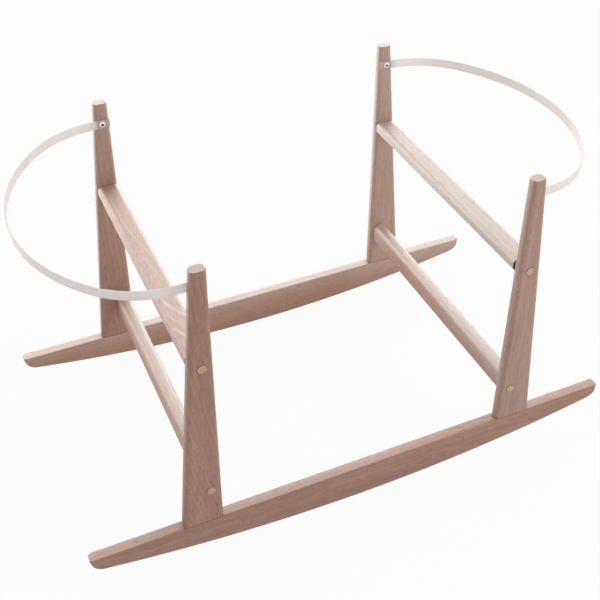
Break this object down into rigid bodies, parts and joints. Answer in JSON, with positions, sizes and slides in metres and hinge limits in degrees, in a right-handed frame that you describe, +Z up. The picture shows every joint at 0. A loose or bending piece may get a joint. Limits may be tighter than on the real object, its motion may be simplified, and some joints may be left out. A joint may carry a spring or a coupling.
{
  "type": "moses basket stand",
  "caption": "Wooden rocking stand for a moses basket: bowed rockers, tapered legs, rails that carry the basket and swinging hoop straps that steady its ends.",
  "frame": {"origin": "on the floor, in the middle between the rockers, where they touch when the stand is level", "axes": "+X along the rockers to the right strap, +Y to the rear frame, +Z up"},
  "size_m": [0.86, 0.4654, 0.5129],
  "materials": {
    "beech": "clear satin lacquer on beech",
    "plug_wood": "pale end-cut wood",
    "dowel_wood": "bare fluted beech",
    "strap_plastic": "milky translucent",
    "zinc_steel": "bright zinc plate"
  },
  "bodies": {
    "stand": {"front_rocker": "beech", "rear_rocker": "beech", "front_left_leg": "beech", "front_right_leg": "beech", "rear_left_leg": "beech", "rear_right_leg": "beech", "left_upper_rail": "beech", "right_upper_rail": "beech", "left_lower_rail": "beech", "right_lower_rail": "beech", "front_left_strap_screw": "zinc_steel", "front_right_strap_screw": "zinc_steel", "rear_left_strap_screw": "zinc_steel", "rear_right_strap_screw": "zinc_steel", "front_left_upper_screw": "zinc_steel", "front_right_upper_screw": "zinc_steel", "rear_left_upper_screw": "zinc_steel", "rear_right_upper_screw": "zinc_steel", "front_left_lower_screw": "zinc_steel", "front_right_lower_screw": "zinc_steel", "rear_left_lower_screw": "zinc_steel", "rear_right_lower_screw": "zinc_steel", "front_left_upper_plug": "plug_wood", "front_right_upper_plug": "plug_wood", "rear_left_upper_plug": "plug_wood", "rear_right_upper_plug": "plug_wood", "front_left_lower_plug": "plug_wood", "front_right_lower_plug": "plug_wood", "rear_left_lower_plug": "plug_wood", "rear_right_lower_plug": "plug_wood", "front_left_leg_dowels": "dowel_wood", "front_right_leg_dowels": "dowel_wood", "rear_left_leg_dowels": "dowel_wood", "rear_right_leg_dowels": "dowel_wood", "left_upper_rail_dowels": "dowel_wood", "right_upper_rail_dowels": "dowel_wood", "left_lower_rail_dowels": "dowel_wood", "right_lower_rail_dowels": "dowel_wood"},
    "left_hoop": {"left_strap": "strap_plastic"},
    "right_hoop": {"right_strap": "strap_plastic"}
  },
  "joints": [
    {"name": "left_strap_swing", "type": "hinge", "parent": "stand", "child": "left_hoop", "pos_m": [-0.24367, 0, 0.4805], "axis": [0, 1, 0], "range_deg": [-70, 180]},
    {"name": "right_strap_swing", "type": "hinge", "parent": "stand", "child": "right_hoop", "pos_m": [0.24367, 0, 0.4805], "axis": [0, -1, 0], "range_deg": [-70, 180]}
  ]
}
